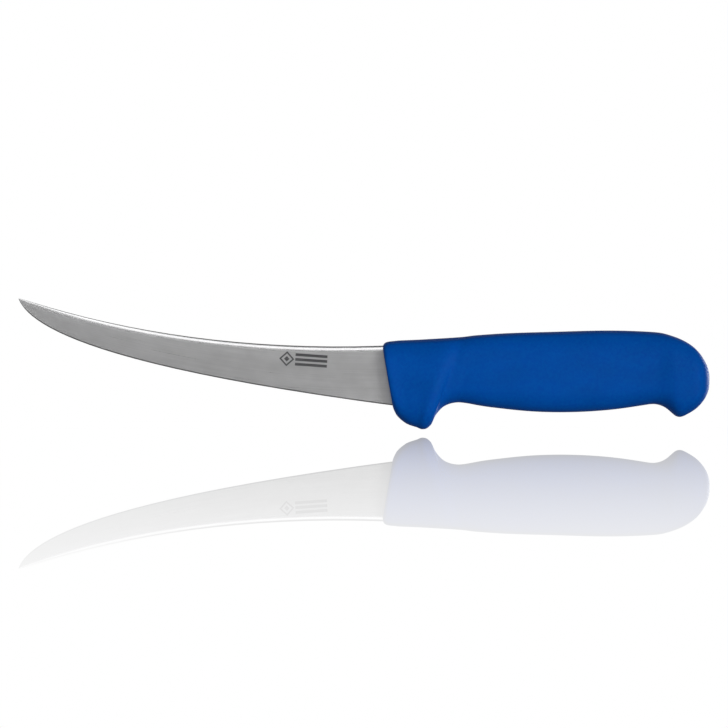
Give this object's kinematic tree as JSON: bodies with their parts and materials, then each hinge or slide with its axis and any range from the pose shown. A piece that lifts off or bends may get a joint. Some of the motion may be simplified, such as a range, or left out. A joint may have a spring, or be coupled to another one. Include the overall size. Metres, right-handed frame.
{
  "type": "boning knife",
  "caption": "Curved boning knife: a slender upswept steel blade with a crowned spine, its tang moulded into a blue grip with a finger guard, finger notch and beaked butt.",
  "frame": {"origin": "the point on the mid-plane where the middle of the blade leaves the slanted front face of the handle", "axes": "+X from the blade towards the butt of the handle, +Y through the thickness, +Z from the cutting edge towards the spine, so the knife stands on its guard"},
  "size_m": [0.2764, 0.0236, 0.0525],
  "materials": {
    "blade_steel": "satin, brushed along the blade, crowned spine polished brighter",
    "core_plastic": "plain moulded, hidden inside the grip",
    "grip_plastic": "matte, finely grained blue elastomer"
  },
  "bodies": {
    "root": {"blade": "blade_steel", "handle_core": "core_plastic", "handle_grip": "grip_plastic"}
  },
  "joints": []
}
